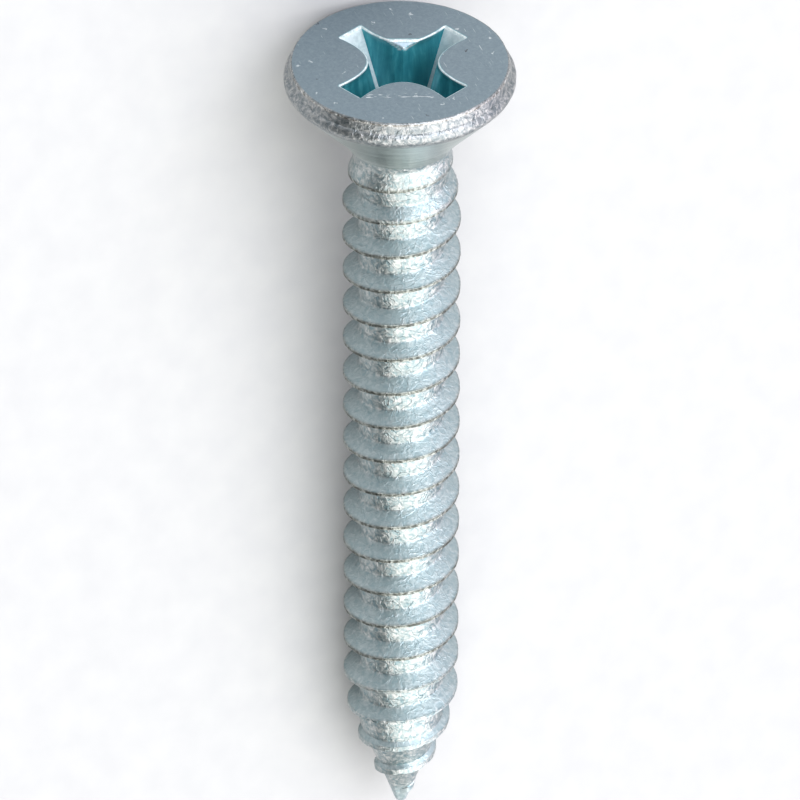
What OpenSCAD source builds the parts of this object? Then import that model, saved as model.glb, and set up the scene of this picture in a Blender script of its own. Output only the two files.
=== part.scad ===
// Countersunk self-tapping screw with a cross recess, 4.2 mm thread, 32 mm nominal length.
// Upright it is measured down from the flat of the head. The part is drawn lying on a
// surface, on the rim of its head and on its last full turn of thread, point towards +X.
// All sizes are in millimetres and degrees.

/* [Overall] */
// Length from the flat of the head to the point
length = 31.2; // [26:0.2:50]

/* [Head] */
// Diameter of the head across its rim
head_d = 7.88; // [7.2:0.02:9]
// Diameter of the flat on top of the head
flat_d = 7.4; // [6.6:0.02:7.5]
// Depth of the widest place of the rim below the flat
rim_depth = 0.61; // [0.45:0.01:0.8]
// Radius that rounds the rim into the seat
rim_round = 0.28; // [0.15:0.01:0.4]
// Included angle of the conical seat under the head
seat_angle = 84.5; // [78:0.5:100]
// Diameter of the plain neck under the head
neck_d = 3.28; // [3.1:0.02:3.6]
// Radius of the fillet between the seat and the neck
neck_fillet = 1.5; // [0.8:0.1:1.8]

/* [Cross recess] */
// Span across two opposite wings at the mouth
recess_span = 5.16; // [4.4:0.02:5.6]
// Width of a wing at the mouth
wing_w = 1.0; // [0.7:0.02:1.2]
// Distance between two opposite noses at the mouth
nose_span = 2.36; // [1.9:0.02:2.7]
// Width of the blunt front of a nose at the mouth
nose_w = 0.84; // [0.5:0.02:0.9]
// Included angle of the blunt front of a nose
nose_angle = 138; // [120:1:160]
// Depth of the wings
recess_depth = 2.3; // [1.4:0.05:2.5]
// Slope of the wing ends and the noses against the axis
recess_taper = 26.5; // [20:0.5:27]
// Draft of the wing flanks against the axis
flank_draft = 3; // [1:0.25:5]
// Included angle of the drill-like floor of the recess
floor_angle = 140; // [120:1:160]
// Turn of the recess against the side that the screw lies on
recess_turn = -20; // [-45:1:45]

/* [Thread] */
// Diameter over the crests
thread_d = 4.05; // [3.7:0.01:4.3]
// Diameter of the core between the crests
core_d = 2.95; // [2.7:0.01:3.1]
// Lead of the single right-hand thread
pitch = 1.41; // [1.2:0.01:1.6]
// Width of the flat on the crest
crest_w = 0.1; // [0.06:0.01:0.2]
// Angle between the two flanks
flank_angle = 60; // [50:1:66]
// Plain length between the foot of the seat and the start of the thread
neck_l = 0.05; // [0.04:0.01:1]
// Turns over which the thread grows to its full height
run_in = 1.6; // [1:0.1:2.4]
// Width of the unfilled crest where the thread starts
start_crest_w = 0.36; // [0.2:0.02:0.6]
// Height of the blunt end where the thread starts
start_h = 0.06; // [0.04:0.01:0.15]
// How far the first turn leans towards the point
start_lean = 0.25; // [0:0.01:0.3]

/* [Point] */
// Distance from the last full crest to the tip
point_l = 5.63; // [4.8:0.01:7]
// Included angle of the conical point
point_angle = 39; // [32:1:48]
// Plain length of the point past the end of the thread
bare_l = 0.85; // [0.6:0.05:1.4]
// Radius at which the point is blunted
tip_r = 0.18; // [0.1:0.01:0.25]
// Height of the blunt end
tip_h = 0.16; // [0.08:0.01:0.3]

/* [Hidden] */
$fn = 96;

// Straight steps of the thread in one turn
STEPS = 36;
// Points across one turn: upper root, upper crest, lower crest, lower root
ACROSS = 4;
// How the crest grows in the run-in: 1 is straight, less is steeper at first
RUN_IN_RISE = 0.7;
// How the crest falls along the point: 1 is straight, 2 is round
POINT_FALL = 1.7;
// Distance between two parts that are joined, to keep their faces apart
STEP_IN = 0.015;
// Height by which the cutter of the recess stands over the flat
OVER = 0.3;

head_r = head_d / 2;
flat_r = flat_d / 2;
neck_r = neck_d / 2;
thread_r = thread_d / 2;
core_r = core_d / 2;

// Seat: the cone leaves the rim's arc and runs into the fillet
seat_half = seat_angle / 2;
rim_ring_r = head_r - rim_round;
seat_top_s = rim_depth + rim_round * cos(seat_half);
seat_top_r = rim_ring_r + rim_round * sin(seat_half);
seat_foot_s = seat_top_s + (seat_top_r - neck_r) / tan(seat_half);
fillet_reach = neck_fillet * tan(seat_half / 2);
neck_s = seat_foot_s + fillet_reach;
// The turned head ends inside the fillet, where the rolled shank takes over
joint_turn = 0.6 * seat_half;
joint_s = neck_s - neck_fillet * sin(joint_turn);

// Thread: crests count in turns from the last full crest, which lies on the underside
last_crest_s = length - point_l;
thread_start_s = seat_foot_s + neck_l + start_crest_w / 2;
first_turn = (ceil((thread_start_s - start_lean - last_crest_s) / pitch * STEPS) + 0.5) / STEPS;
thread_end_s = length - bare_l;
last_turn = (thread_end_s - last_crest_s) / pitch;
rise = tan(flank_angle / 2);
steps_all = floor((last_turn - first_turn) * STEPS);
full_s = last_crest_s + pitch * (first_turn + run_in);

// Point
tip_ring_s = length - tip_h;
point_s = tip_ring_s - (core_r - tip_r) / tan(point_angle / 2);

// Lying: a line that touches the rim's arc and the last full crest
rest_s = last_crest_s + crest_w / 2;
lie_run = rest_s - rim_depth;
lie_drop = rim_ring_r - thread_r * cos(180 / STEPS);
lie = atan2(lie_drop, lie_run) + asin(rim_round / norm([lie_run, lie_drop]));
lie_z = rim_depth * sin(lie) + rim_ring_r * cos(lie) + rim_round;
lie_x = -(length * cos(lie) - flat_r * sin(lie)) / 2;

function mix(a, b, t) = a + (b - a) * t;
function unit(t) = min(1, max(0, t));

// Radius of the fillet's curve at a depth
function fillet_r(s) =
    neck_r + neck_fillet * (1 - sqrt(1 - pow(min(1, max(0, neck_s - s) / neck_fillet), 2)));

// Radius of the surface that the thread stands on, at a depth
function root_r(s) =
    s < neck_s ? fillet_r(s) - STEP_IN
    : s < full_s ? mix(neck_r - STEP_IN, core_r, (s - neck_s) / (full_s - neck_s))
    : s < point_s ? core_r
    : max(tip_r, core_r - (s - point_s) * tan(point_angle / 2));

// Share of the run-in that a turn has behind it
function grown(turn) = unit((turn - first_turn) / run_in);

// Depth of the middle of the crest at a turn
function crest_s(turn) = last_crest_s + pitch * turn + start_lean * (1 - grown(turn));

// Radius of the crest at a turn: grows in the run-in and falls along the point
function crest_r(turn) =
    let (s = crest_s(turn))
    let (start = mix(root_r(s) + start_h, thread_r, pow(grown(turn), RUN_IN_RISE)))
    let (fall = unit((s - last_crest_s) / (thread_end_s - last_crest_s)))
    grown(turn) < 1 ? start : mix(thread_r, root_r(thread_end_s) + start_h, pow(fall, POINT_FALL));

// Four points across the thread at a turn, as [depth, radius]
function across(turn) =
    let (s = crest_s(turn))
    let (r = crest_r(turn))
    let (half = mix(start_crest_w, crest_w, grown(turn)) / 2)
    let (foot = half + max(0, r - root_r(s)) * rise)
    [
        [s - foot, min(r - 0.02, root_r(s - foot))],
        [s - half, r],
        [s + half, r],
        [s + foot, min(r - 0.02, root_r(s + foot))]
    ];

function ring_angle(i) = 180 - 360 * (first_turn + i / STEPS);

function around(p, a) = [p[1] * cos(a), p[1] * sin(a), -p[0]];

// Head and neck, turned about the axis
module head_blank() {
    rim = [
        for (i = [0 : 10])
        let (t = mix(60, seat_half - 90, i / 10))
        [rim_ring_r + rim_round * cos(t), rim_round * sin(t) - rim_depth]
    ];
    root = [
        for (i = [0 : 4])
        let (t = mix(seat_half, joint_turn, i / 4))
        [neck_r + neck_fillet * (1 - cos(t)), neck_fillet * sin(t) - neck_s]
    ];
    rotate_extrude()
        polygon(concat([[0, 0], [flat_r, 0]], rim, root, [[0, -joint_s]]));
}

// One ring of the cross recess at a depth: five points to a quarter
function recess_ring(z) =
    let (in = z * tan(recess_taper))
    let (thin = z * tan(flank_draft))
    let (nose = nose_span / 2 - in * nose_span / recess_span)
    let (front = nose_w / 2 * nose / (nose_span / 2))
    let (end = recess_span / 2 - in)
    let (half = wing_w / 2 - thin)
    let (back = nose + front / tan(nose_angle / 2))
    [
        for (q = [0 : 3])
        for (p = [
            [back, -front],
            [nose, 0],
            [back, front],
            [(end + half) * sqrt(0.5), (end - half) * sqrt(0.5)],
            [(end - half) * sqrt(0.5), (end + half) * sqrt(0.5)]
        ])
        [p[0] * cos(90 * q) - p[1] * sin(90 * q), p[0] * sin(90 * q) + p[1] * cos(90 * q), -z]
    ];

// Cutter of the cross recess, from above the flat to a drill-like floor
module recess_cutter() {
    mouth = recess_ring(-OVER);
    base = recess_ring(recess_depth);
    floor_z = -recess_depth - (recess_span / 2 - recess_depth * tan(recess_taper)) / tan(floor_angle / 2);
    n = len(mouth);
    points = concat(mouth, base, [[0, 0, OVER], [0, 0, floor_z]]);
    sides = [for (i = [0 : n - 1]) each [
        [i, n + i, (i + 1) % n],
        [n + i, n + (i + 1) % n, (i + 1) % n]
    ]];
    top = [for (i = [0 : n - 1]) [i, (i + 1) % n, 2 * n]];
    bottom = [for (i = [0 : n - 1]) [n + (i + 1) % n, n + i, 2 * n + 1]];
    polyhedron(points, [for (f = concat(sides, top, bottom)) [f[2], f[1], f[0]]]);
}

// Core, thread and point as one body, rolled along the thread
module threaded_shank() {
    rows = [for (i = [0 : steps_all]) across(first_turn + i / STEPS)];
    cap_s = joint_s - 0.12;
    strip = [for (i = [0 : steps_all]) for (p = rows[i]) around(p, ring_angle(i))];
    cap = [for (i = [0 : STEPS - 1]) around([cap_s, root_r(joint_s)], ring_angle(i))];
    collar = [for (i = [0 : STEPS - 1]) around([joint_s, root_r(joint_s)], ring_angle(i))];
    tip = [for (i = [0 : STEPS - 1]) around([tip_ring_s, tip_r], ring_angle(steps_all - STEPS + i))];

    at_cap = len(strip);
    at_collar = at_cap + STEPS;
    at_tip = at_collar + STEPS;
    at_top = at_tip + STEPS;
    at_point = at_top + 1;
    points = concat(strip, cap, collar, tip, [[0, 0, -cap_s], [0, 0, -length]]);

    // Along the thread: both flanks and the crest, then the land down to the next turn
    ridge = [for (i = [0 : steps_all - 1]) for (j = [0 : ACROSS - 2]) each [
        [i * ACROSS + j, (i + 1) * ACROSS + j, (i + 1) * ACROSS + j + 1],
        [i * ACROSS + j, (i + 1) * ACROSS + j + 1, i * ACROSS + j + 1]
    ]];
    land = [for (i = [0 : steps_all - STEPS - 1]) each [
        [i * ACROSS + 3, (i + 1) * ACROSS + 3, (i + 1 + STEPS) * ACROSS],
        [i * ACROSS + 3, (i + 1 + STEPS) * ACROSS, (i + STEPS) * ACROSS]
    ]];

    // Top: a disc, a short plain ring and the fillet's foot above the first turn
    lid = [for (i = [0 : STEPS - 1]) [at_cap + i, at_top, at_cap + (i + 1) % STEPS]];
    plain = [for (i = [0 : STEPS - 1]) each [
        [at_cap + i, at_cap + (i + 1) % STEPS, at_collar + (i + 1) % STEPS],
        [at_cap + i, at_collar + (i + 1) % STEPS, at_collar + i]
    ]];
    foot = [for (i = [0 : STEPS - 2]) each [
        [at_collar + i, at_collar + i + 1, (i + 1) * ACROSS],
        [at_collar + i, (i + 1) * ACROSS, i * ACROSS]
    ]];
    last = at_collar + STEPS - 1;
    foot_end = [
        [last, at_collar, 0],
        [last, 0, 3],
        [last, 3, STEPS * ACROSS],
        [last, STEPS * ACROSS, (STEPS - 1) * ACROSS]
    ];
    start_face = [[0, 1, 2], [0, 2, 3]];

    // Point: the bare cone below the last turn and the blunt end
    low = steps_all - STEPS;
    fin = steps_all * ACROSS;
    side = (low + 1) * ACROSS + 3;
    cone = [for (i = [1 : STEPS - 1]) each [
        [(low + i) * ACROSS + 3, (low + i + 1) * ACROSS + 3, at_tip + (i + 1) % STEPS],
        [(low + i) * ACROSS + 3, at_tip + (i + 1) % STEPS, at_tip + i]
    ]];
    cone_end = [
        [side, fin, low * ACROSS + 3],
        [side, fin + 3, fin],
        [side, at_tip, fin + 3],
        [side, at_tip + 1, at_tip]
    ];
    end_face = [[fin, fin + 2, fin + 1], [fin, fin + 3, fin + 2]];
    blunt = [for (i = [0 : STEPS - 1]) [at_tip + i, at_tip + (i + 1) % STEPS, at_point]];

    faces = concat(
        ridge, land, lid, plain, foot, foot_end, start_face, cone, cone_end, end_face, blunt
    );
    polyhedron(points, [for (f = faces) [f[2], f[1], f[0]]]);
}

// The screw, lying as it comes to rest
module screw() {
    color("LightSteelBlue")
        translate([lie_x, 0, lie_z])
        rotate([0, lie - 90, 0])
        union() {
            rotate([0, 0, recess_turn])
                difference() {
                    head_blank();
                    recess_cutter();
                }
            threaded_shank();
        }
}

screw();
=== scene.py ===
"""Looks of the countersunk self-tapping screw, zinc-plated and lying on a pale floor.

The screw is modelled upright in millimetres, head up, and is laid down in the last step.
Depth is the distance below the flat of the head, along the axis.
"""

import logging
import math
from dataclasses import dataclass, field
from enum import IntEnum
from typing import Any, Callable

import bmesh
import bpy
from mathutils import Matrix, Vector, kdtree, noise


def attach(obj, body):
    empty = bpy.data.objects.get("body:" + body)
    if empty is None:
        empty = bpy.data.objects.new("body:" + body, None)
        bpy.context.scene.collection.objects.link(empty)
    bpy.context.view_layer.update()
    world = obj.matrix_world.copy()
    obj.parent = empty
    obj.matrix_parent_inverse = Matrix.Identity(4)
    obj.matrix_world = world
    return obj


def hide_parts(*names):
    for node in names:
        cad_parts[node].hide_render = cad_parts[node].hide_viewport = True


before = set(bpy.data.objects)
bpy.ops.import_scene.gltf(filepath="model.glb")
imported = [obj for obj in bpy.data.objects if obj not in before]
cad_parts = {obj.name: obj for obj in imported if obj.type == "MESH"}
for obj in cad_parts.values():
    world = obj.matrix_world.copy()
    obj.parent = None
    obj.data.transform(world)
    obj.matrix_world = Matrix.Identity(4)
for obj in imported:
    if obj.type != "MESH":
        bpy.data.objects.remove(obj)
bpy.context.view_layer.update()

LOG = logging.getLogger("screw")

# One millimetre in metres
MM = 0.001
# Points in one turn of the head and of the thread, 2 degrees apart
SIDES = 180
# Turn of the recess against the side that the screw lies on, in degrees
RECESS_TURN = -20.0
# Depth down to which a point counts as on the flat, in millimetres
NEAR = 1e-4
# Distance within which points are welded, in millimetres
WELD = 2e-4
# Node tree of a material or of the world
Tree = bpy.types.NodeTree
# Start and end of a range, or a place and a width
Span = tuple[float, float]
# From none to all
UNIT: Span = (0.0, 1.0)


class Zone(IntEnum):
    """Parts of the screw's skin that were formed in different ways, and the wing ends with a painted
    highlight, by material slot.
    """

    FLAT = 0
    RECESS = 1
    RIM = 2
    SEAT = 3
    THREAD = 4
    WING = 5


def mix(a: float, b: float, t: float) -> float:
    """Value between a and b at the share t."""
    return a + (b - a) * t


def ease(t: float) -> float:
    """Smooth step from 0 to 1."""
    t = min(1.0, max(0.0, t))
    return t * t * (3.0 - 2.0 * t)


def linear(colour: str) -> tuple[float, float, float, float]:
    """Turns an sRGB hex colour to linear.

    Args:
        colour: six hex digits after a hash.

    Returns:
        Linear red, green and blue, and full opacity.
    """
    parts = [int(colour[i : i + 2], 16) / 255 for i in (1, 3, 5)]
    low = [c / 12.92 if c <= 0.04045 else ((c + 0.055) / 1.055) ** 2.4 for c in parts]
    return low[0], low[1], low[2], 1.0


def polar(radius: float, degrees: float, depth: float) -> Vector:
    """Point at a radius, an angle about the axis and a depth below the flat."""
    a = math.radians(degrees)
    return Vector((radius * math.cos(a), radius * math.sin(a), -depth))


def ripple(at: Vector, waves: tuple[Span, ...]) -> float:
    """Uneven height at a place, from waves given as (height, waves per millimetre)."""
    return sum(height * noise.noise(at * often) for height, often in waves)


def open_mesh() -> None:
    """Opens the active object in edit mode with all of it selected."""
    bpy.ops.object.mode_set(mode="EDIT")
    bpy.ops.mesh.select_all(action="SELECT")


def close_mesh() -> None:
    """Leaves edit mode."""
    bpy.ops.object.mode_set(mode="OBJECT")


def start_mesh(name: str, add: Callable[..., Any], **sizes: Any) -> bpy.types.Object:
    """Adds a primitive at the origin with nothing else selected and opens it in edit mode.

    Args:
        name: name of the new object.
        add: operator that adds the primitive.
        sizes: settings of that operator.

    Returns:
        The new object, in edit mode with all of it selected.
    """
    bpy.ops.object.select_all(action="DESELECT")
    add(location=(0, 0, 0), **sizes)
    made = bpy.context.active_object
    made.name = made.data.name = name
    open_mesh()
    return made


def extrude(out: float = 0.0, down: float = 0.0) -> None:
    """Extrudes the selected points away from the axis and down along it."""
    bpy.ops.mesh.extrude_region_move(TRANSFORM_OT_translate={"value": (out, 0, -down)})


def select_points(piece: bpy.types.Object, wanted: Callable[[Vector], bool]) -> None:
    """Selects the points of a piece in edit mode by their place.

    Args:
        piece: object in edit mode.
        wanted: test of a point's place.
    """
    bpy.ops.mesh.select_all(action="DESELECT")
    mesh = bmesh.from_edit_mesh(piece.data)
    mesh.select_mode = {"VERT"}
    for v in mesh.verts:
        v.select = wanted(v.co)
    mesh.select_flush_mode()
    bmesh.update_edit_mesh(piece.data)


def reshape_ring(piece: bpy.types.Object, before: list[Vector], after: list[Vector]) -> None:
    """Moves the selected ring of a piece, point by point.

    Args:
        piece: object in edit mode.
        before: where the ring's points are, in order.
        after: where they go, in the same order.
    """
    tree = kdtree.KDTree(len(before))
    for i, point in enumerate(before):
        tree.insert(point, i)
    tree.balance()
    mesh = bmesh.from_edit_mesh(piece.data)
    for v in mesh.verts:
        if v.select:
            v.co = after[tree.find(v.co)[1]]
    bmesh.update_edit_mesh(piece.data)


def add_node(tree: Tree, kind: str, inputs: dict[Any, Any] | None = None, **settings: Any) -> Any:
    """Adds a shader node with its settings and links.

    Args:
        tree: node tree that takes the node.
        kind: type name of the node, without the prefix that all have.
        inputs: for each input either the socket that feeds it or its fixed value.
        settings: properties of the node; ramp is a list of (place, linear colour).

    Returns:
        The new node.
    """
    node = tree.nodes.new("ShaderNode" + kind)
    stops = settings.pop("ramp", None)
    for name, value in settings.items():
        setattr(node, name, value)
    if stops:
        elements = node.color_ramp.elements
        while len(elements) < len(stops):
            elements.new(0.5)
        for element, (place, colour) in zip(elements, stops):
            element.position = place
            element.color = colour
    for key, value in (inputs or {}).items():
        if isinstance(value, bpy.types.NodeSocket):
            tree.links.new(value, node.inputs[key])
        else:
            node.inputs[key].default_value = value
    return node


def blend(tree: Tree, share: Any, a: Any, b: Any, kind: str = "RGBA") -> Any:
    """Mixes two colours, or two values of another kind, and gives the result."""
    mixed = add_node(tree, "Mix", {"Factor": share, "A": a, "B": b}, data_type=kind)
    return mixed.outputs["Result"]


def reckon(tree: Tree, operation: str, *values: Any) -> Any:
    """Adds one step of arithmetic and gives the result."""
    return add_node(tree, "Math", dict(enumerate(values)), operation=operation).outputs[0]


def cloud(tree: Tree, at: Any, scale: float, detail: float, **more: float) -> Any:
    """Adds a noise texture at given coordinates and gives its outputs."""
    inputs = {"Vector": at, "Scale": scale, "Detail": detail, **more}
    return add_node(tree, "TexNoise", inputs).outputs


def spread(tree: Tree, value: Any, start: Span, end: Span) -> Any:
    """Maps one span of values to another, clamped, and gives the result."""
    limits = {"From Min": start[0], "From Max": start[1], "To Min": end[0], "To Max": end[1]}
    return add_node(tree, "MapRange", {"Value": value, **limits}).outputs[0]


def placed(tree: Tree, at: Any, **moves: tuple[float, float, float]) -> Any:
    """Moves, turns or scales coordinates and gives the result."""
    return add_node(tree, "Mapping", {"Vector": at, **moves}).outputs["Vector"]


def shades(tree: Tree, value: Any, *stops: tuple[float, str]) -> Any:
    """Colours a value by stops of (place, sRGB hex colour) and gives the result."""
    ramp = [(place, linear(colour)) for place, colour in stops]
    return add_node(tree, "ValToRGB", {"Fac": value}, ramp=ramp).outputs["Color"]


def empty_tree(owner: bpy.types.Material | bpy.types.World) -> Tree:
    """Opens a node tree with no node in it.

    Args:
        owner: material or world that has the tree.

    Returns:
        The empty tree.
    """
    owner.use_nodes = True
    owner.node_tree.nodes.clear()
    return owner.node_tree


def write_share(piece: bpy.types.Object, name: str, shares: list[float]) -> None:
    """Writes one share for each point of a piece, for its materials."""
    piece.data.attributes.new(name, "FLOAT", "POINT").data.foreach_set("value", shares)


@dataclass
class Recess:
    """Cross recess punched into the flat, with four wings and four noses.

    Lengths are in millimetres. The coin fields give the bevel that the punch left on one land:
    the land's number, how far out the bevel starts, its slope, and its reach and depth. A painted
    highlight runs as a bright line where the bevel meets the walls.
    """

    span: float = 5.06
    wing_w: float = 1.0
    nose_span: float = 2.36
    nose_w: float = 0.84
    nose_half: float = math.radians(69)
    depth: float = 2.3
    taper: float = math.radians(26.5)
    draft: float = math.radians(3)
    floor_half: float = math.radians(70)
    floor_rings: tuple[float, ...] = (0.4, 0.75)
    lip: float = 0.06
    lip_reach: float = 1.9
    fan_r: float = 3.1
    dome_depth: float = 0.3
    coin_land: int = 2
    coin_at: float = 1.32
    coin_slope: float = 0.74
    coin_reach: float = 1.5
    coin_depth: float = 0.34
    bevel_highlight: float = 0.04
    off_centre: float = 0.1
    wing_spread: float = 14.0
    wing_lean: Span = (0.2, 0.7)
    rings: tuple[float, ...] = (
        0, 0.007, 0.024, 0.054, 0.09, 0.13, 0.17, 0.22, 0.27, 0.34, 0.5, 0.8, 1.2, 1.7, 2.15, 2.3
    )
    nose_steps: int = 6
    cheek: tuple[float, ...] = (0, 0.08, 0.16, 0.25, 0.34, 0.43, 0.52, 0.61, 0.70, 0.79, 0.87, 0.94, 0.985)
    wing_end: tuple[float, ...] = (0.0, 0.3, 0.6, 0.87)

    def middle(self) -> Vector:
        """Where the punch struck, a little off the middle of the head."""
        return polar(self.off_centre, RECESS_TURN + 90, 0)

    def half_land(self, z: float, coined: bool) -> list[Span]:
        """Half of one land's outline at a depth, from its nose to the middle of a wing's end.

        Args:
            z: depth below the flat.
            coined: whether the punch left a bevel on this land's nose.

        Returns:
            Points as (distance along the nose's direction, distance across it).
        """
        inward = z * math.tan(self.taper)
        nose = self.nose_span / 2 - inward * self.nose_span / self.span
        front = self.nose_w * nose / self.nose_span
        shoulder = nose + front / math.tan(self.nose_half)
        end = self.span / 2 - inward
        half = self.wing_w / 2 - z * math.tan(self.draft)
        corner = ((end + half) * math.sqrt(0.5), (end - half) * math.sqrt(0.5))
        # Near the mouth the metal flowed back into a dome over the facets
        domed = 1 - ease(z / self.dome_depth)
        points: list[Span] = []
        steps = [front * i / self.nose_steps for i in range(self.nose_steps)]
        for across in steps + [mix(front, corner[1], t) for t in self.cheek]:
            if across < front:
                facet = mix(nose, shoulder, across / front)
            else:
                facet = mix(shoulder, corner[0], (across - front) / (corner[1] - front))
            along = mix(facet, nose + (corner[0] - nose) * (across / corner[1]) ** 2, domed)
            if coined:
                along = max(along, self.coin_at - self.coin_slope * z)
            points.append((along, across))
        tip = end * math.sqrt(0.5)
        return points + [(mix(corner[0], tip, t), mix(corner[1], tip, t)) for t in self.wing_end]

    def outline(self, z: float, grow: float = 0.0) -> list[Vector]:
        """Whole outline at a depth with one point for each side of the head.

        Args:
            z: depth below the flat.
            grow: distance by which the lip widens the outline.

        Returns:
            SIDES points in the order of the head's sides, from the nose at RECESS_TURN.
        """
        halves = [self.half_land(z, land == self.coin_land) for land in range(4)]
        plain: list[Vector] = []
        for q in range(4):
            # The second half of a quarter is the next land's, mirrored over the wing's middle
            quarter = halves[q] + [(b, a) for a, b in reversed(halves[(q + 1) % 4][1:])]
            turn = Matrix.Rotation(math.radians(RECESS_TURN + 90 * q), 3, "Z")
            plain += [turn @ Vector((a, b, 0)) for a, b in quarter]
        points: list[Vector] = []
        for i, point in enumerate(plain):
            along = plain[(i + 1) % SIDES] - plain[i - 1]
            out = Vector((along.y, -along.x, 0)).normalized()
            points.append(point + out * grow + self.middle() - Vector((0, 0, z)))
        return points

    def loops(self) -> list[list[Vector]]:
        """Rings of the recess from its lip to just above the point of its floor.

        Returns:
            One list of SIDES points for each ring.
        """
        mouth = self.outline(0, self.lip * self.lip_reach)
        # A ring straight out from the mouth, so that no face of the flat folds over
        made = [[p.normalized() * self.fan_r for p in mouth], mouth]
        for z in self.rings:
            left = max(0.0, 1 - z / self.lip)
            made.append(self.outline(z, self.lip * (1 - math.sqrt(1 - left * left))))
        drop = self.floor_depth() - self.depth
        base, middle = made[-1], self.middle()
        for t in self.floor_rings:
            down = drop * t
            made.append([Vector((mix(p.x, middle.x, t), mix(p.y, middle.y, t), p.z - down)) for p in base])
        return made

    def floor_depth(self) -> float:
        """Depth of the point of the floor."""
        return self.depth + (self.span / 2 - self.depth * math.tan(self.taper)) / math.tan(self.floor_half)

    def off_bevel(self, point: Vector) -> float:
        """Distance of a point from the bevel that the punch left on one land.

        Args:
            point: point of the upright screw.

        Returns:
            Distance across the land's nose, or 1 away from the bevel.
        """
        if math.hypot(point.x, point.y) > self.coin_reach or point.z < -self.coin_depth:
            return 1.0
        nose = polar(1, RECESS_TURN + 90 * self.coin_land, 0)
        return abs((point - self.middle()).dot(nose) - self.coin_slope * point.z - self.coin_at)

    def faces_wing(self, normal: Vector) -> bool:
        """Whether a wall of the recess with this normal is the end of a wing."""
        turn = (math.degrees(math.atan2(normal.y, normal.x)) - RECESS_TURN) % 90
        return abs(turn - 45) < self.wing_spread and self.wing_lean[0] < normal.z < self.wing_lean[1]


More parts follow.
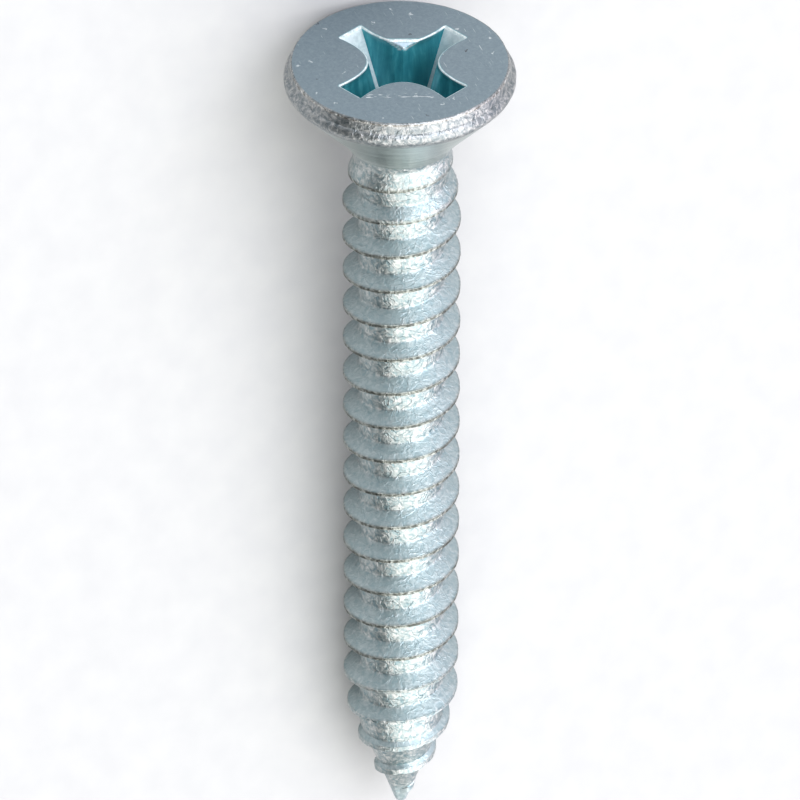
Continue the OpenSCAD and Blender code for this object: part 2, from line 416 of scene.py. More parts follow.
@dataclass
class Head:
    """Countersunk head, struck and then rolled over at its rim.

    Lengths are in millimetres. The brow is the band round the flat that takes a dark line with
    bright beads, the beads being painted glints; the shell is the outer layer of the head that no
    wall of the recess reaches.
    """

    hold_r: float = 3.5
    head_r: float = 3.94
    rim_depth: float = 0.61
    rim_round: float = 0.28
    seat_half: float = math.radians(42.25)
    neck_r: float = 1.64
    neck_fillet: float = 1.5
    joint_share: float = 0.6
    askew: float = math.radians(2)
    shell_r: float = 3.7
    shell: float = 0.25
    rolled_edge: tuple[Span, ...] = (
        (3.60, 0.0), (3.655, 0.003), (3.684, 0.014), (3.702, 0.036), (3.714, 0.07), (3.726, 0.115),
        (3.742, 0.17), (3.765, 0.245), (3.786, 0.315),
    )
    rim_start: float = math.radians(60)
    rim_steps: int = 14
    seat_steps: int = 16
    fillet_steps: int = 6
    waves: tuple[Span, ...] = ((0.012, 1.7), (0.008, 5.0))
    waves_r: float = 3.4
    waves_end: float = 1.0
    waves_fade: Span = (0.03, 0.25)
    # Reach of the painted highlight on the recess's lip
    lip_highlight: float = 1.6
    brow_s: float = 0.075
    brow_half: float = 0.05
    recess: Recess = field(default_factory=Recess)

    def __post_init__(self) -> None:
        """Works out where the seat, the fillet and the shank meet."""
        ring_r = self.head_r - self.rim_round
        self.seat_top_s = self.rim_depth + self.rim_round * math.cos(self.seat_half)
        self.seat_top_r = ring_r + self.rim_round * math.sin(self.seat_half)
        self.seat_foot_s = self.seat_top_s + (self.seat_top_r - self.neck_r) / math.tan(self.seat_half)
        self.neck_s = self.seat_foot_s + self.neck_fillet * math.tan(self.seat_half / 2)
        self.joint_s = self.neck_s - self.neck_fillet * math.sin(self.joint_share * self.seat_half)

    def fillet_r(self, s: float) -> float:
        """Radius of the fillet between the seat and the neck at a depth."""
        rise = min(1.0, max(0.0, self.neck_s - s) / self.neck_fillet)
        return self.neck_r + self.neck_fillet * (1 - math.sqrt(1 - rise * rise))

    def outer_r(self, s: float) -> float:
        """Radius of the rim and the seat at a depth, roughly."""
        return min(self.shell_r, self.seat_top_r - (s - self.seat_top_s) * math.tan(self.seat_half))

    def within(self, s: float, r: float) -> bool:
        """Whether a place at a depth and a radius lies within the shell."""
        return r < self.outer_r(s) - self.shell

    def on_rim(self, t: float) -> Span:
        """Radius and depth on the round of the rim at an angle."""
        ring_r = self.head_r - self.rim_round
        return ring_r + self.rim_round * math.cos(t), self.rim_depth - self.rim_round * math.sin(t)

    def on_fillet(self, t: float) -> Span:
        """Radius and depth on the fillet of the neck at an angle."""
        r = self.neck_r + self.neck_fillet * (1 - math.cos(t))
        return r, self.neck_s - self.neck_fillet * math.sin(t)

    def profile(self) -> list[Span]:
        """Outer outline, from the flat to the joint with the shank.

        Returns:
            Points as (radius, depth).
        """
        made = list(self.rolled_edge)
        rim_end = self.seat_half - math.pi / 2
        steps = [i / self.rim_steps for i in range(self.rim_steps + 1)]
        made += [self.on_rim(mix(self.rim_start, rim_end, t)) for t in steps]
        start, end = made[-1], self.on_fillet(self.seat_half)
        steps = [i / self.seat_steps for i in range(1, self.seat_steps)]
        made += [(mix(start[0], end[0], t), mix(start[1], end[1], t)) for t in steps]
        steps = [i / self.fillet_steps for i in range(self.fillet_steps + 1)]
        made += [self.on_fillet(mix(self.seat_half, self.joint_share * self.seat_half, t)) for t in steps]
        return made

    def build(self) -> bpy.types.Object:
        """Models the head: a ring drawn down along its outline, then in along the recess.

        Returns:
            The head, open where the shank joins it.
        """
        outline = self.profile()
        edge_r = outline[0][0]
        head = start_mesh("head", bpy.ops.mesh.primitive_circle_add, vertices=SIDES, radius=edge_r)
        for (r0, s0), (r1, s1) in zip(outline, outline[1:]):
            extrude(down=s1 - s0)
            bpy.ops.transform.resize(value=(r1 / r0, r1 / r0, 1), center_override=(0, 0, -s1))
        select_points(head, lambda p: p.z > -NEAR)
        # A ring just inside the edge keeps the flat's shading flat
        extrude()
        k = self.hold_r / edge_r
        bpy.ops.transform.resize(value=(k, k, 1), center_override=(0, 0, 0))
        before = [polar(self.hold_r, RECESS_TURN + 360 / SIDES * i, 0) for i in range(SIDES)]
        for after in self.recess.loops():
            extrude()
            reshape_ring(head, before, after)
            before = after
        extrude()
        bpy.ops.mesh.merge(type="CENTER")
        mesh = bmesh.from_edit_mesh(head.data)
        for v in mesh.verts:
            if v.select:
                v.co = self.recess.middle() - Vector((0, 0, self.recess.floor_depth()))
        bmesh.update_edit_mesh(head.data)
        close_mesh()
        self.roughen(head)
        self.mark(head)
        return head

    def roughen(self, head: bpy.types.Object) -> None:
        """Gives the rim the slight waves of a struck edge.

        Args:
            head: the modelled head.
        """
        for v in head.data.vertices:
            s, r = -v.co.z, math.hypot(v.co.x, v.co.y)
            if r > self.waves_r and NEAR < s < self.waves_end:
                share = ease(s / self.waves_fade[0]) * ease((self.waves_end - s) / self.waves_fade[1])
                k = 1 + ripple(v.co, self.waves) * share / r
                v.co.x, v.co.y = v.co.x * k, v.co.y * k

    def tip(self, screw: bpy.types.Object) -> None:
        """Tips the head a little on its shank, as it was struck.

        Args:
            screw: the joined, still upright screw.
        """
        front = polar(math.tan(self.askew), RECESS_TURN, 0)
        for v in screw.data.vertices:
            s, r = -v.co.z, math.hypot(v.co.x, v.co.y)
            if s < self.joint_s:
                share = ease((self.joint_s - s) / (self.joint_s - self.seat_top_s))
                if self.within(s, r):
                    share = 1.0
                v.co.z -= v.co.dot(front) * share

    def mark(self, head: bpy.types.Object) -> None:
        """Writes each point's share of the edge colours, for its materials: painted glints on the brow and
        painted highlight on the recess's lip and bevel line.

        Args:
            head: the modelled head.
        """
        edge: list[float] = []
        bevel_highlight = self.recess.bevel_highlight
        for v in head.data.vertices:
            s, r = -v.co.z, math.hypot(v.co.x, v.co.y)
            edge_share = 0.0
            # The brow round the flat: a dark line whose bright beads are painted glints
            if r > self.hold_r:
                edge_share = ease(1 - abs(s - self.brow_s) / self.brow_half)
            elif s > NEAR:
                # Painted highlight on the lip all round, and in a line where the bevel meets the walls
                lip = ease(self.lip_highlight - s / self.recess.lip)
                edge_share = max(lip, ease(1 - abs(self.recess.off_bevel(v.co) - bevel_highlight) / bevel_highlight))
            edge.append(edge_share)
        write_share(head, "edge", edge)
        write_share(head, "flank", [0.0] * len(edge))


# Rows on a flank: share of its width out from the crest, share of its height, crest, flank
FLANK_ROWS = (
    (1.05, 0.009, 0.0, 0.0), (0.98, 0.042, 0.0, 0.4), (0.84, 0.168, 0.0, 0.9),
    (0.5, 0.505, 0.0, 1.0), (0.14, 0.862, 0.0, 1.0), (0.03, 0.965, 0.25, 0.6),
)
# Rows on the crest: place in half crests from its middle, share of the seam's depth
CREST_ROWS = ((-1.0, 0.15), (-0.4, 0.0), (0.0, 1.0), (0.4, 0.0), (1.0, 0.15))
# Rings of the rounded tip: scale against the ring before it, share of the tip's height
TIP_RINGS = ((0.88, 0.3), (0.8, 0.3), (0.66, 0.22), (0.45, 0.13))
# Share of the tip's height that is left for its last point
TIP_END = 0.05


@dataclass
class Thread:
    """Rolled single-start thread with its run-in under the head and its point.

    Lengths are in millimetres. Turns count from the last full one, negative towards the head.
    """

    head: Head
    length: float = 31.2
    thread_r: float = 2.025
    core_r: float = 1.475
    pitch: float = 1.41
    crest_w: float = 0.13
    point_crest_w: float = 0.24
    flank_half: float = math.radians(30)
    run_in: float = 1.6
    start_crest_w: float = 0.36
    start_h: float = 0.06
    start_lean: float = 0.25
    first_turn: float = -15.82
    point_l: float = 5.63
    point_half: float = math.radians(19.5)
    bare_l: float = 0.85
    tip_r: float = 0.24
    tip_h: float = 0.2
    seam: float = 0.012
    snap: float = 0.01
    foot: float = 1.16
    top_turn: float = -16.6
    turns: int = 21
    # A turn of full height, which is drawn and then screwed along the axis
    drawn_turn: float = -8.0
    # Ends of the run-in and of the run-out: how sharply the crest grows, and over how many turns
    in_power: float = 0.7
    in_turns: float = 0.14
    out_power: float = 1.7
    out_turns: float = 0.2
    # Swelling of the run-in: how it fades, its round, limits of its width, its lip and its room
    swell_power: float = 0.8
    swell_round: float = 0.6
    swell_least: float = 0.02
    swell_most: float = 0.62
    swell_lip: float = 0.32
    land_share: float = 1.35
    joint_gap: float = 0.05
    # Heights over which the seam, a level crest, the torn edge and the flank's look come in
    seam_h: float = 0.3
    level_h: float = 0.15
    rough_h: float = 0.2
    flank_h: float = 0.25
    # Wear across the crest as (shift, width) in half crests, on the full thread and on the run-in
    worn_full: Span = (1.6, 1.2)
    worn_start: Span = (0.1, 0.6)
    # Torn crest: where it starts in height, where it fades along the thread, its waves and sway
    torn_h: Span = (0.08, 0.1)
    torn_end: Span = (0.4, 2.0)
    torn_out: tuple[Span, ...] = ((0.009, 4.5), (0.007, 11))
    torn_along: float = 0.012
    # Pinch of the point: how far before the thread's end it starts, and its flats against the round
    pinch_l: float = 0.9
    pinch_flat: float = 0.88
    # Shank to one side under the head: how far, over what length, and the share lost at the point
    lean: float = 0.065
    lean_l: float = 0.8
    lean_lost: float = 0.6

    def __post_init__(self) -> None:
        """Works out the ends of the thread and of the cylindrical core."""
        self.last_s = self.length - self.point_l
        self.end_s = self.length - self.bare_l
        self.full_s = self.last_s + self.pitch * (self.first_turn + self.run_in)
        self.tip_s = self.length - self.tip_h
        self.point_s = self.tip_s - (self.core_r - self.tip_r) / math.tan(self.point_half)
        self.end_turn = (self.end_s - self.last_s) / self.pitch

    def root_r(self, s: float) -> float:
        """Radius of the surface that the thread stands on.

        Args:
            s: depth.

        Returns:
            Radius of the neck, the core or the point.
        """
        if s < self.head.neck_s:
            return self.head.fillet_r(s)
        if s < self.full_s:
            share = (s - self.head.neck_s) / (self.full_s - self.head.neck_s)
            return mix(self.head.neck_r, self.core_r, share)
        if s < self.point_s:
            return self.core_r
        return max(self.tip_r, self.core_r - (s - self.point_s) * math.tan(self.point_half))

    def grown(self, turn: float) -> float:
        """Share of the run-in that a turn has behind it."""
        return min(1.0, max(0.0, (turn - self.first_turn) / self.run_in))

    def crest_s(self, turn: float) -> float:
        """Depth of the middle of the crest at a turn."""
        return self.last_s + self.pitch * turn + self.start_lean * (1 - self.grown(turn))

    def height(self, turn: float) -> float:
        """Height of the crest over the root.

        Args:
            turn: place along the thread in turns.

        Returns:
            Height, growing along the run-in and falling along the point.
        """
        s = self.crest_s(turn)
        root = self.root_r(s)
        up = self.grown(turn)
        if up < 1:
            crest = mix(root + self.start_h, self.thread_r, up**self.in_power)
            return (crest - root) * ease((turn - self.first_turn + self.in_turns) / self.in_turns)
        fall = min(1.0, max(0.0, (s - self.last_s) / (self.end_s - self.last_s)))
        crest = mix(self.thread_r, self.root_r(self.end_s) + self.start_h, fall**self.out_power)
        return max(0.0, crest - root) * ease((self.end_turn - turn + self.out_turns) / self.out_turns)

    def land(self, s: float) -> tuple[float, float, float, float]:
        """Row on the bare land at a depth, which is neither crest nor flank."""
        return s, self.root_r(s), 0.0, 0.0

    def across(self, turn: float) -> list[tuple[float, float, float, float]]:
        """Rows of points across one turn, from the land above it to the land below.

        Args:
            turn: place along the thread in turns.

        Returns:
            For each row its depth, its radius, and how much it is crest and flank.
        """
        s = self.crest_s(turn)
        above = (self.crest_s(turn - 1) + s) / 2
        below = (self.crest_s(turn + 1) + s) / 2
        tall = self.height(turn)
        fall = ease((s - self.last_s) / (self.end_s - self.last_s))
        wide = mix(self.start_crest_w, self.crest_w, self.grown(turn))
        half = mix(wide, self.point_crest_w, fall) / 2
        slope = tall * math.tan(self.flank_half)
        swell = (1 - self.grown(turn)) ** self.swell_power
        land_room = (s - half - above) / self.land_share
        neck_room = (s - half - self.head.joint_s - self.joint_gap) / self.foot
        room = max(self.swell_least, min(self.swell_most, land_room, neck_room))
        rise = mix(slope, room, swell)
        crest_r = self.root_r(s) + tall
        # The run-in is a swelling whose lower edge stands out most
        lip = self.swell_lip * tall * swell
        seam = self.seam * ease(tall / self.seam_h) * (1 - 0.5 * fall)
        level = ease(tall / self.level_h)
        side = ((self.foot, 0.0, 0.0, 0.0), *FLANK_ROWS)
        rows = [self.land(above), self.land(mix(above, s - half - rise * self.foot, 0.5))]
        for out, up, crest, flank in side:
            at = s - half - rise * out
            root = self.root_r(at)
            full = mix(tall, crest_r - root, level) - lip
            r = root + up ** mix(1.0, self.swell_round, swell) * full
            rows.append((at, r, crest * (1 - swell), flank * (1 - swell)))
        for out, sunk in CREST_ROWS:
            at = s + half * out
            bulge = lip * ((1 - out) / 2) ** 2
            # The dull line is strongest along the lower edge, and on the run-in only there
            edge_share = ease((out + self.worn_full[0]) / self.worn_full[1])
            worn_in = ease((out + self.worn_start[0]) / self.worn_start[1])
            r = mix(self.root_r(at) + tall, crest_r, level) - sunk * seam - bulge
            rows.append((at, r, mix(edge_share, worn_in, min(1.0, 2.5 * swell)), 0.0))
        for out, up, crest, flank in reversed(side):
            at = s + half + slope * out
            root = self.root_r(at)
            r = root + up * mix(tall, crest_r - root, level)
            rows.append((at, r, mix(crest, 2.2 * crest, swell), flank))
        rows.append(self.land(mix(below, s + half + slope * self.foot, 0.5)))
        rows.append(self.land(below))
        return rows

    def place(self, s: float, r: float, angle: float, crest: float) -> Vector:
        """Where a point of the thread goes, with the small faults of a rolled and pinched part.

        Args:
            s: depth.
            r: radius.
            angle: angle about the axis in degrees.
            crest: how much the point belongs to the crest.

        Returns:
            The point in the upright frame.
        """
        if s < self.head.joint_s + self.snap:
            return polar(self.root_r(self.head.joint_s), angle, self.head.joint_s)
        if s > self.tip_s - self.snap:
            s, r = self.tip_s, self.tip_r
        if crest:
            at = polar(r, angle, s)
            r += crest * ripple(at, self.torn_out)
            s += crest * self.torn_along * noise.noise(at * 3.7 + Vector((9, 3, 5)))
        # The point was pinched between two dies, which leaves it faintly square
        pinch = ease(s - self.end_s + self.pinch_l)
        if pinch:
            a = math.radians(angle - RECESS_TURN)
            facet = min(1.0, self.pinch_flat / max(abs(math.cos(a)), abs(math.sin(a))))
            r *= mix(1.0, facet, pinch)
        # The shank stands a little to one side under the head
        aside = self.lean * ease((s - self.head.joint_s) / self.lean_l)
        aside *= 1 - self.lean_lost * s / self.length
        return polar(r, angle, s) + polar(aside, RECESS_TURN + 90, 0)

    def build(self) -> bpy.types.Object:
        """Models the shank: a drawn profile screwed along the axis, then shaped turn by turn.

        Returns:
            The shank, open where it joins the head.
        """
        rows = self.across(self.drawn_turn)
        shank = start_mesh("shank", bpy.ops.mesh.primitive_plane_add, size=1.0)
        bpy.ops.mesh.merge(type="CENTER")
        bpy.ops.transform.translate(value=(rows[0][1], 0, -rows[0][0]))
        for a, b in zip(rows, rows[1:]):
            extrude(b[1] - a[1], b[0] - a[0])
        close_mesh()
        rolled = shank.modifiers.new("rolled thread", "SCREW")
        rolled.axis = "Z"
        rolled.angle = -2 * math.pi
        rolled.screw_offset = -self.pitch
        rolled.steps = rolled.render_steps = SIDES
        rolled.iterations = self.turns
        rolled.use_merge_vertices = False
        bpy.ops.object.modifier_apply(modifier=rolled.name)
        self.shape(shank, len(rows))
        open_mesh()
        bpy.ops.mesh.remove_doubles(threshold=WELD)
        select_points(shank, lambda p: p.z < -self.tip_s + 1e-3)
        for k, drop in TIP_RINGS:
            extrude(down=self.tip_h * drop)
            bpy.ops.transform.resize(value=(k, k, 1))
        extrude(down=self.tip_h * TIP_END)
        bpy.ops.mesh.merge(type="CENTER")
        close_mesh()
        return shank

    def shape(self, shank: bpy.types.Object, width: int) -> None:
        """Moves every point of the screwed profile to its place on the real thread.

        Args:
            shank: the screwed profile.
            width: number of rows across one turn.
        """
        places: list[float] = []
        crests: list[float] = []
        flanks: list[float] = []
        # The drawn points aren't numbered in order, so each is known by its depth
        drawn = sorted(range(width), key=lambda i: -shank.data.vertices[i].co.z)
        rank = sorted(range(width), key=drawn.__getitem__)
        for step in range(len(shank.data.vertices) // width):
            turn = self.top_turn + step / SIDES
            rows, tall = self.across(turn), self.height(turn)
            # The torn edge fades out over the last turns before the point
            torn = ease((tall - self.torn_h[0]) / self.torn_h[1])
            torn *= ease((self.torn_end[0] - turn) / self.torn_end[1])
            for i in range(width):
                s, r, crest, flank = rows[rank[i]]
                places.extend(self.place(s, r, 180 - 360 * turn, crest * ease(tall / self.rough_h)))
                crests.append(crest * torn)
                # The bare point was pressed like a flank
                flanks.append(max(flank * ease(tall / self.flank_h), ease((s - self.end_s + 0.2) / 0.4)))
        shank.data.vertices.foreach_set("co", places)
        write_share(shank, "edge", crests)
        write_share(shank, "flank", flanks)
        shank.data.update()


@dataclass(frozen=True)
class ZincFinish:
    """Zinc electroplate on steel with a blue passivation film.

    The film gives the grey metal a cool blue-green cast, and the deposit is crystalline, so it
    glitters in small flakes where nothing rubbed it and is satin where a die pressed it smooth.
    """

    name: str
    tones: tuple[str, str, str]
    rough: Span
    flake_mm: float
    flake_um: float
    lines: tuple[float, float, float]
    lines_um: float
    ruling: float = 0.0
    metallic: float = 1.0
    pressed: str = "#aebfc3"
    pressed_roughness: float = 0.5
    vein: float = 0.0
    edge: tuple[str, str, str] = ("#575a56", "#777b76", "#a2a6a1")
    edge_roughness: float = 0.38
    bead_mm: float = 0.15

    def wear(self, tree: Tree, axis: Any, colour: Any) -> Any:
        """Adds marks of use to the colour; most zones have none."""
        return colour

    def make(self, lying: "Lying") -> bpy.types.Material:
        """Builds the material.

        Args:
            lying: place of the screw, from which patterns are turned back to its axis.

        Returns:
            The node material.
        """
        material = bpy.data.materials.new(self.name)
        tree = empty_tree(material)
        where = add_node(tree, "TexCoord").outputs["Object"]
        turn = lying.back_turn()
        axis = placed(tree, where, Location=lying.back_shift(), Rotation=turn, Scale=(1 / MM,) * 3)
        flank = add_node(tree, "Attribute", attribute_name="flank").outputs["Fac"]
        edge = add_node(tree, "Attribute", attribute_name="edge").outputs["Fac"]

        # Flakes of the deposit: bent patches with crisp borders
        bend = cloud(tree, axis, 0.45 / self.flake_mm, 2.0)["Color"]
        bent = add_node(
            tree, "VectorMath", {0: bend, 1: (self.flake_mm * 2.2,) * 3, 2: axis},
            operation="MULTIPLY_ADD",
        ).outputs["Vector"]
        flakes = add_node(
            tree, "TexVoronoi", {"Vector": bent, "Scale": 1 / self.flake_mm, "Detail": 1.0},
            feature="F1",
        ).outputs["Distance"]
        grain = cloud(tree, bent, 1.1 / self.flake_mm, 4.0, Roughness=0.62, Distortion=0.6)["Fac"]
        relief = reckon(tree, "MULTIPLY_ADD", flakes, 0.55, grain)
        # Veins where the skin crinkled as it was rolled
        swirl = cloud(tree, bent, 0.3 / self.flake_mm, 1.0, Distortion=0.8)["Fac"]
        away = reckon(tree, "ABSOLUTE", reckon(tree, "SUBTRACT", swirl, 0.5))
        relief = reckon(tree, "ADD", relief, spread(tree, away, (0.0, 0.035), (self.vein, 0.0)))

        # Lines left by the tool or by the die
        lines = cloud(tree, placed(tree, axis, Scale=self.lines), 1.0, 3.0, Roughness=0.6)["Fac"]

        # A pressed flank is smoother than a free land
        calm = spread(tree, flank, UNIT, (1.0, 0.7))
        bumped = add_node(
            tree, "Bump", {"Height": relief, "Strength": calm, "Distance": self.flake_um * 1e-6}
        ).outputs["Normal"]
        normal = add_node(
            tree, "Bump",
            {"Height": lines, "Strength": 1.0, "Distance": self.lines_um * 1e-6, "Normal": bumped},
        ).outputs["Normal"]

        tone = blend(tree, self.ruling, grain, lines, "FLOAT")
        tint = shades(tree, tone, *zip((0.36, 0.52, 0.68), self.tones))
        plain = blend(tree, reckon(tree, "MULTIPLY", flank, 0.6), tint, linear(self.pressed))
        # Beads along an edge, drawn a little coarser than they are so that they show; on the rim's brow
        # and on the recess's lip and bevel the bright beads are painted highlights
        bead = cloud(tree, axis, 1 / self.bead_mm, 2.0, Roughness=0.6)["Fac"]
        beads = shades(tree, bead, *zip((0.38, 0.5, 0.63), self.edge))
        colour = blend(tree, edge, plain, beads)
        rough = spread(tree, tone, (0.3, 0.7), self.rough)
        for share, level in ((flank, self.pressed_roughness), (edge, self.edge_roughness)):
            rough = blend(tree, share, rough, level, "FLOAT")
        skin = add_node(
            tree, "BsdfPrincipled",
            {
                "Base Color": self.wear(tree, axis, colour), "Metallic": self.metallic,
                "Roughness": rough, "Normal": normal,
            },
        )
        add_node(tree, "OutputMaterial", {"Surface": skin.outputs["BSDF"]})
        return material


@dataclass(frozen=True)
class FlatFinish(ZincFinish):
    """Finish of the flat, which shows the marks of handling and of the driver."""

    mark: str = "#e3eaec"
    pit: str = "#4c4a4e"
    # Row of nicks as (middle, half its width) in millimetres, along the land and out from the axis
    row_across: Span = (0.04, 1.18)
    row_out: Span = (2.02, 0.14)

    def wear(self, tree: Tree, axis: Any, colour: Any) -> Any:
        """Adds fine scratches, bright specks, dark pits and one row of nicks on the front land.

        Args:
            tree: node tree of the material.
            axis: coordinates in millimetres along the screw's axis.
            colour: colour before the marks.

        Returns:
            Colour with the marks.
        """
        # Scratches about 0.6 mm long, in two directions; patterns: turn, places per mm, threshold
        for turn, spacing, start in ((35.0, (1.5, 17.0, 1.0), 0.735), (-62.0, (1.3, 20.0, 1.0), 0.73)):
            at = placed(tree, axis, Rotation=(0, 0, math.radians(turn)), Scale=spacing)
            scratch = cloud(tree, at, 1.0, 1.0)["Fac"]
            share = spread(tree, scratch, (start, start + 0.06), (0.0, 0.6))
            colour = blend(tree, share, colour, linear(self.mark))
        # Specks and pits at odd places, given by cells per mm and radius in cells
        stray = cloud(tree, axis, 7.0, 2.0)["Color"]
        stray = add_node(
            tree, "VectorMath", {0: stray, 1: (0.35, 0.35, 0.0), 2: axis}, operation="MULTIPLY_ADD"
        ).outputs["Vector"]
        for scale, radius, tone in ((0.7, 0.045, self.mark), (0.46, 0.026, self.pit)):
            cell = add_node(
                tree, "TexVoronoi", {"Vector": stray, "Scale": scale}, voronoi_dimensions="2D"
            ).outputs["Distance"]
            share = spread(tree, cell, (radius, radius * 0.4), (0.0, 0.8))
            colour = blend(tree, share, colour, linear(tone))
        # Nicks from a driver that slipped over the front land: short strokes in a slack row
        local = placed(tree, axis, Rotation=(0, 0, -math.radians(RECESS_TURN)))
        parts = add_node(tree, "SeparateXYZ", {"Vector": local}).outputs
        stroke = cloud(tree, placed(tree, local, Scale=(17.0, 3.4, 0.0)), 1.0, 1.5)["Fac"]
        share = spread(tree, stroke, (0.58, 0.64), UNIT)
        for side, (middle, half) in (("Y", self.row_across), ("X", self.row_out)):
            share = reckon(tree, "MULTIPLY", share, reckon(tree, "COMPARE", parts[side], middle, half))
        return blend(tree, share, colour, linear(self.mark))


# Painted highlight in beads along the recess's lip and where its bevel meets the walls
PAINTED_HIGHLIGHT_EDGE = ("#b9c9cb", "#d5e0e1", "#eef2f2")
FINISHES: dict[Zone, ZincFinish] = {
    # Struck flat of the head and bevel of the recess: pressed smooth by the punch, so satin and even
    Zone.FLAT: FlatFinish(
        "zinc_plated_struck_flat", tones=("#84949d", "#8b9ba4", "#93a3ab"),
        rough=(0.31, 0.41), flake_mm=0.12, flake_um=2.0, lines=(2.0, 26.0, 2.0), lines_um=1.6,
    ),
    # Punched recess: the film gathered here and the walls face each other, so it glows blue-green
    Zone.RECESS: ZincFinish(
        "zinc_plated_punched_recess", tones=("#2c7f8c", "#3a919d", "#57acb5"),
        rough=(0.27, 0.37), flake_mm=0.3, flake_um=0.8, lines=(4.0, 4.0, 0.35), lines_um=2.0,
        ruling=0.8, metallic=0.55, edge=PAINTED_HIGHLIGHT_EDGE, edge_roughness=0.3,
    ),
    # Rim of the head: free surface, so coarse bright crystals; the brow's dark line has bright beads that
    # are painted glints
    Zone.RIM: ZincFinish(
        "zinc_plated_free_rim", tones=("#70797d", "#95999a", "#bebebd"),
        rough=(0.28, 0.48), flake_mm=0.17, flake_um=18.0, lines=(1.0, 1.0, 14.0), lines_um=3.0,
        vein=0.4, edge=("#6d675f", "#a5a29c", "#e9e9e6"),
    ),
    # Seat and neck: ironed by the die, with fine lines round the axis
    Zone.SEAT: ZincFinish(
        "zinc_plated_ironed_seat", tones=("#919d9b", "#abb4b2", "#c1c9c6"),
        rough=(0.29, 0.39), flake_mm=0.2, flake_um=4.0, lines=(0.35, 0.35, 13.0), lines_um=14.0,
        ruling=0.75,
    ),
    # Rolled thread: crystals on the free lands, smooth flanks and a torn, dull grey crest
    Zone.THREAD: ZincFinish(
        "zinc_plated_rolled_thread", tones=("#7e9297", "#a6aeae", "#d3d3d1"),
        rough=(0.29, 0.47), flake_mm=0.18, flake_um=19.0, lines=(3.0, 3.0, 3.0), lines_um=3.0,
        vein=0.45,
    ),
    # Ends of the wings: a painted highlight, pale and nearly matt, on the walls that face out of the
    # recess
    Zone.WING: ZincFinish(
        "zinc_wing_end_painted_highlight", tones=("#b8c7cb", "#c6d3d6", "#d3dee0"),
        rough=(0.35, 0.45), flake_mm=0.2, flake_um=3.0, lines=(7.0, 7.0, 0.8), lines_um=4.0,
        metallic=0.2, edge=PAINTED_HIGHLIGHT_EDGE, edge_roughness=0.3,
    ),
}


@dataclass
class Lying:
    """Place of the screw on the floor, on its rim and on its last full turn of thread.

    The dip is the axis's angle to the floor; x and z are the middle of the flat in millimetres.
    """

    dip: float = math.radians(4.397991363289241)
    x: float = -15.412199345332944
    z: float = 3.9760001998993966

    def matrix(self) -> Matrix:
        """Turns the upright screw in millimetres to the lying one in metres."""
        turn = Matrix.Rotation(self.dip - math.pi / 2, 4, "Y")
        return Matrix.Translation((self.x * MM, 0, self.z * MM)) @ turn @ Matrix.Scale(MM, 4)

    def back_turn(self) -> tuple[float, float, float]:
        """Rotation that brings lying coordinates back to the screw's axis."""
        return 0.0, math.pi / 2 - self.dip, 0.0

    def back_shift(self) -> tuple[float, float, float]:
        """Shift in millimetres that goes with back_turn."""
        turn = Matrix.Rotation(math.pi / 2 - self.dip, 3, "Y")
        return tuple(-(turn @ Vector((self.x, 0, self.z))))


@dataclass
class Screw:
    """The whole screw: head and shank in one skin, dressed by how each zone was formed, with painted
    highlights on the wing ends and the recess's edges.

    The flat, recess, lip, bevel and rim fields are where those zones end.
    """

    head: Head = field(default_factory=Head)
    lying: Lying = field(default_factory=Lying)
    crease: float = math.radians(36)
    flat_s: float = 0.002
    flat_up: float = 0.99
    recess_s: float = 2.9
    lip_s: float = 0.05
    bevel_off: float = 0.01
    rim_past: float = 0.12

    def __post_init__(self) -> None:
        """Hangs the thread under the head."""
        self.thread = Thread(self.head)

    def build(self) -> bpy.types.Object:
        """Models, joins, dresses and lays down the screw.

        Returns:
            The finished piece, riding on the CAD body.
        """
        head = self.head.build()
        LOG.info("head: %d faces", len(head.data.polygons))
        shank = self.thread.build()
        LOG.info("shank: %d faces", len(shank.data.polygons))
        bpy.ops.object.select_all(action="DESELECT")
        shank.select_set(True)
        head.select_set(True)
        bpy.context.view_layer.objects.active = head
        bpy.ops.object.join()
        open_mesh()
        bpy.ops.mesh.remove_doubles(threshold=WELD)
        bpy.ops.mesh.normals_make_consistent(inside=False)
        close_mesh()
        head.name = head.data.name = "zinc_plated_screw"
        self.dress(head)
        self.head.tip(head)
        head.matrix_world = self.lying.matrix()
        bpy.ops.object.transform_apply(location=True, rotation=True, scale=True)
        bpy.ops.object.shade_smooth_by_angle(angle=self.crease)
        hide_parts("screw")
        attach(head, "root")
        return head

    def zone(self, face: bpy.types.MeshPolygon) -> Zone:
        """How a face of the upright screw was formed, or that it takes the wing ends' painted highlight.

        Args:
            face: face of the joined, still upright screw.

        Returns:
            The zone that the face belongs to.
        """
        s, r = -face.center.z, math.hypot(face.center.x, face.center.y)
        if s < self.flat_s and face.normal.z > self.flat_up:
            return Zone.FLAT
        if s < self.recess_s and self.head.within(s, r):
            recess = self.head.recess
            if not self.lip_s < s < recess.depth:
                return Zone.RECESS
            if recess.off_bevel(face.center) < self.bevel_off:
                return Zone.FLAT
            # Wing-end walls that face out of the recess take a painted highlight
            return Zone.WING if recess.faces_wing(face.normal) else Zone.RECESS
        if s < self.head.seat_top_s + self.rim_past:
            return Zone.RIM
        return Zone.SEAT if s < self.head.joint_s else Zone.THREAD

    def dress(self, screw: bpy.types.Object) -> None:
        """Gives each zone its finish.

        Args:
            screw: the joined, still upright screw.
        """
        screw.data.materials.clear()
        for zone in Zone:
            screw.data.materials.append(FINISHES[zone].make(self.lying))
        zones = [int(self.zone(face)) for face in screw.data.polygons]
        screw.data.polygons.foreach_set("material_index", zones)
        screw.data.update()


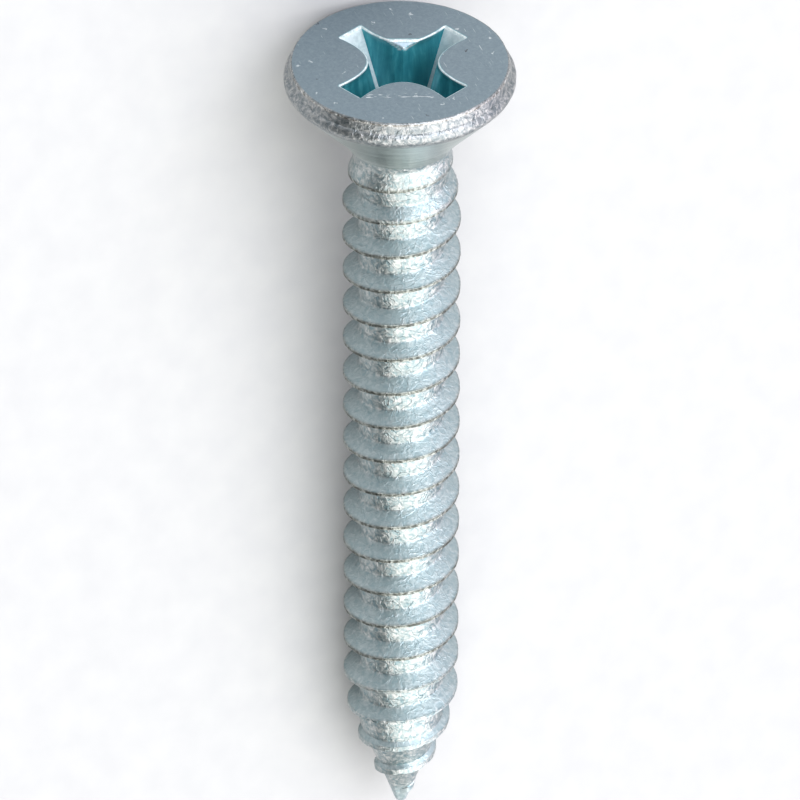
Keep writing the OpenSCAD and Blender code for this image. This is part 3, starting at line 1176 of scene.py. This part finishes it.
@dataclass(frozen=True)
class SoftBox:
    """Soft box that faces the screw.

    Lengths are in metres, and the glow of its face in watts per square metre and steradian.
    """

    name: str
    toward: tuple[float, float, float]
    distance: float
    size: Span
    glow: float
    colour: str

    def hang(self) -> None:
        """Hangs the box in the room."""
        lamp = bpy.data.lights.new(self.name, "AREA")
        lamp.shape = "RECTANGLE"
        lamp.size, lamp.size_y = self.size
        lamp.energy = self.glow * math.pi * self.size[0] * self.size[1]
        lamp.color = linear(self.colour)[:3]
        holder = bpy.data.objects.new(self.name, lamp)
        back = Vector(self.toward).normalized()
        turn = back.to_track_quat("Z", "Y").to_matrix().to_4x4()
        holder.matrix_world = Matrix.Translation(back * self.distance) @ turn
        bpy.context.scene.collection.objects.link(holder)


@dataclass
class Studio:
    """Pale floor, soft boxes and a long lens at the photograph's angle.

    The tilt, and the distance and drop in millimetres, place the camera against the flat.
    """

    lying: Lying = field(default_factory=Lying)
    tilt: float = math.radians(34.5)
    distance: float = 304.5
    focal_px: float = 9011.0
    drop: float = 11.438
    picture_px: int = 800
    sensor_mm: float = 36.0
    clip_m: Span = (0.01, 20.0)
    floor_m: float = 4.0

    def camera(self) -> None:
        """Sets the camera where the photograph was taken from."""
        turn = self.lying.matrix().to_3x3().normalized()
        axis = turn @ Vector((0, 0, 1))
        facing = turn @ polar(1, RECESS_TURN, 0)
        right = turn @ polar(1, RECESS_TURN + 90, 0)
        up = math.cos(self.tilt) * axis - math.sin(self.tilt) * facing
        back = math.sin(self.tilt) * axis + math.cos(self.tilt) * facing
        lens = bpy.data.cameras.new("camera")
        lens.sensor_width = self.sensor_mm
        lens.lens = self.sensor_mm * self.focal_px / self.picture_px
        lens.clip_start, lens.clip_end = self.clip_m
        camera = bpy.data.objects.new("camera", lens)
        top = Vector((self.lying.x, 0, self.lying.z))
        place = (top - up * self.drop + back * self.distance) * MM
        camera.matrix_world = Matrix.Translation(place) @ Matrix((right, up, back)).transposed().to_4x4()
        bpy.context.scene.collection.objects.link(camera)
        bpy.context.scene.camera = camera

    def floor(self) -> None:
        """Lays a pale seamless floor under the screw."""
        floor = start_mesh("floor", bpy.ops.mesh.primitive_plane_add, size=self.floor_m)
        bpy.ops.mesh.subdivide(number_cuts=3)
        close_mesh()
        # Matt paper: even and without gloss, so it only takes the soft shadow
        paper = bpy.data.materials.new("pale_grey_matt_paper")
        tree = empty_tree(paper)
        where = add_node(tree, "TexCoord").outputs["Object"]
        fibre = cloud(tree, where, 900.0, 2.0)["Fac"]
        tone = shades(tree, fibre, (0.3, "#aaabac"), (0.7, "#aeafaf"))
        skin = add_node(tree, "BsdfPrincipled", {"Base Color": tone, "Roughness": 0.85})
        add_node(tree, "OutputMaterial", {"Surface": skin.outputs["BSDF"]})
        floor.data.materials.append(paper)

    def light(self) -> None:
        """Hangs the soft boxes and sets the light of the room."""
        front = SoftBox(
            "front box", (0.45, 0.04, 0.9), distance=0.75, size=(1.8, 1.1), glow=2.3, colour="#fffcf7"
        )
        back = SoftBox(
            "back box", (-0.62, 0.16, 0.75), distance=0.8, size=(0.8, 0.6), glow=4.6, colour="#f9f9ff"
        )
        for box in (front, back):
            box.hang()
        world = bpy.data.worlds.new("studio")
        tree = empty_tree(world)
        # The room is dim and cool on the left and pale lilac on the right, so the round form reads
        side = add_node(tree, "TexCoord").outputs["Generated"]
        side = add_node(tree, "SeparateXYZ", {"Vector": side}).outputs["Y"]
        side = spread(tree, side, (-1.0, 1.0), UNIT)
        walls = shades(tree, side, (0.0, "#10191b"), (0.5, "#acb2b4"), (1.0, "#f8f2ff"))
        room = add_node(tree, "Background", {"Color": walls, "Strength": 1.5})
        add_node(tree, "OutputWorld", {"Surface": room.outputs["Background"]})
        bpy.context.scene.world = world
        bpy.context.scene.view_settings.view_transform = "Standard"


def main() -> None:
    """Builds the studio and the screw."""
    logging.basicConfig(level=logging.INFO, format="%(message)s")
    studio = Studio()
    studio.camera()
    studio.floor()
    studio.light()
    screw = Screw().build()
    LOG.info("%s: %d faces", screw.name, len(screw.data.polygons))


if __name__ == "__main__":
    main()
